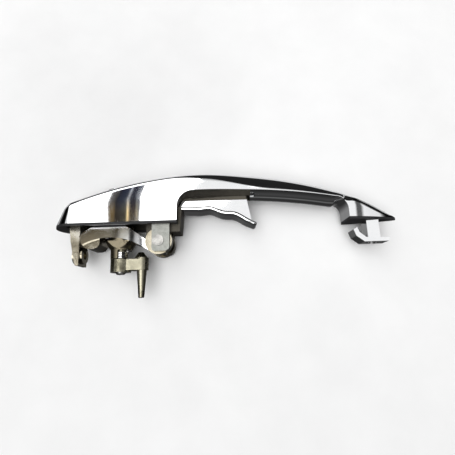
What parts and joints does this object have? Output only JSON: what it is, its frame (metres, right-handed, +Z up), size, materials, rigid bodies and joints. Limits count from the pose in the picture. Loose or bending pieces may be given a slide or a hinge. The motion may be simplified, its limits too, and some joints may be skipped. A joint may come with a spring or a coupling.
{
  "type": "car door handle",
  "caption": "Chromed outside door handle with a bowed grip, a finger trigger behind it, a key lock with a cranked pin, a rear screw post and a front hook.",
  "frame": {"origin": "where the lock axis crosses the door skin, on the rear seal's seating face", "axes": "+X to the rear of the car along the handle, +Z up, -Y out of the door"},
  "size_m": [0.2095, 0.0734, 0.026],
  "materials": {
    "chrome": "polished chrome plate on die-cast zinc",
    "seal_rubber": "matt black moulded rubber",
    "grey_zinc": "matt grey passivated zinc",
    "brown_zinc": "brownish passivated zinc casting",
    "khaki_zinc": "khaki passivated zinc casting",
    "steel": "bright zinc-plated steel",
    "bright_steel": "polished stainless steel",
    "brass": "stamped brass"
  },
  "bodies": {
    "handle": {"handle_body": "chrome", "rear_seal": "seal_rubber", "front_seal": "seal_rubber", "front_hook": "chrome", "hook_screw": "steel", "pivot_bracket": "grey_zinc", "bracket_screws": "steel", "pivot_pin": "steel", "pin_clip": "steel", "trigger_spring": "steel", "lock_housing": "brown_zinc", "housing_screws": "steel", "lock_seal": "seal_rubber", "lock_cap": "bright_steel", "crank_spring": "steel"},
    "trigger": {"trigger": "chrome"},
    "lock": {"lock_plug": "brown_zinc", "plug_face": "bright_steel", "wafers": "brass", "wafer_springs": "steel", "thrust_washer": "bright_steel", "crank": "khaki_zinc", "crank_screw": "steel"},
    "shutter": {"key_shutter": "bright_steel"}
  },
  "joints": [
    {"name": "trigger_pull", "type": "hinge", "parent": "handle", "child": "trigger", "pos_m": [-0.0243, 0.0099, 0], "axis": [0, 0, 1], "range_deg": [0, 11], "stiffness_Nm_per_rad": 0.35, "springref_deg": -20.05, "deforming": ["trigger_spring"]},
    {"name": "lock_turn", "type": "hinge", "parent": "handle", "child": "lock", "pos_m": [0, 0, 0], "axis": [0, -1, 0], "range_deg": [-60, 60], "stiffness_Nm_per_rad": 0.04, "deforming": ["crank_spring"]},
    {"name": "shutter_swing", "type": "hinge", "parent": "lock", "child": "shutter", "pos_m": [0.00185, -0.02235, 0], "axis": [0, 0, -1], "range_deg": [0, 80], "stiffness_Nm_per_rad": 0.0001, "springref_deg": -17.19}
  ]
}
